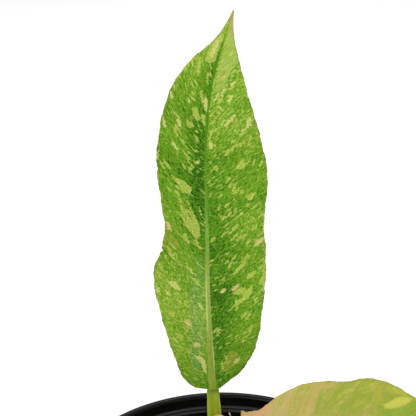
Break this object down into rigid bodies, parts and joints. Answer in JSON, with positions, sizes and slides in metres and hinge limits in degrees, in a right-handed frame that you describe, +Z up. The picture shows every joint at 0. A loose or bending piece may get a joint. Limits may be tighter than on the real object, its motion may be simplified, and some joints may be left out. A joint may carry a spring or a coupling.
{
  "type": "potted ring of fire philodendron",
  "caption": "Young variegated philodendron with long narrow leaves, a rolled new leaf and a short stem, growing in a round black nursery pot.",
  "frame": {"origin": "middle of the pot's base, on the surface that it stands on", "axes": "+Z up along the pot's axis, the upright leaf's upper face towards -Y, the second leaf towards +X"},
  "size_m": [0.1732, 0.12, 0.2566],
  "materials": {
    "pot_plastic": "black moulded polypropylene, slightly glossy",
    "potting_mix": "crumbly dark peat and bark potting mix",
    "green_stem": "smooth green stem with corky ring scars",
    "leaf_stalk": "smooth yellow-green stalk with paler edges",
    "green_blade": "semi-gloss green leaf flecked with cream and yellow-green",
    "peach_blade": "semi-gloss leaf from peach to yellow-green with streaks along the veins",
    "new_leaf": "tender peach-orange rolled leaf",
    "dry_sheath": "dry papery beige sheath"
  },
  "bodies": {
    "root": {"pot": "pot_plastic", "soil": "potting_mix", "stem": "green_stem", "petiole_upright": "leaf_stalk", "petiole_right": "leaf_stalk", "blade_upright": "green_blade", "blade_right": "peach_blade", "new_leaf": "new_leaf", "dry_sheath": "dry_sheath"}
  },
  "joints": []
}
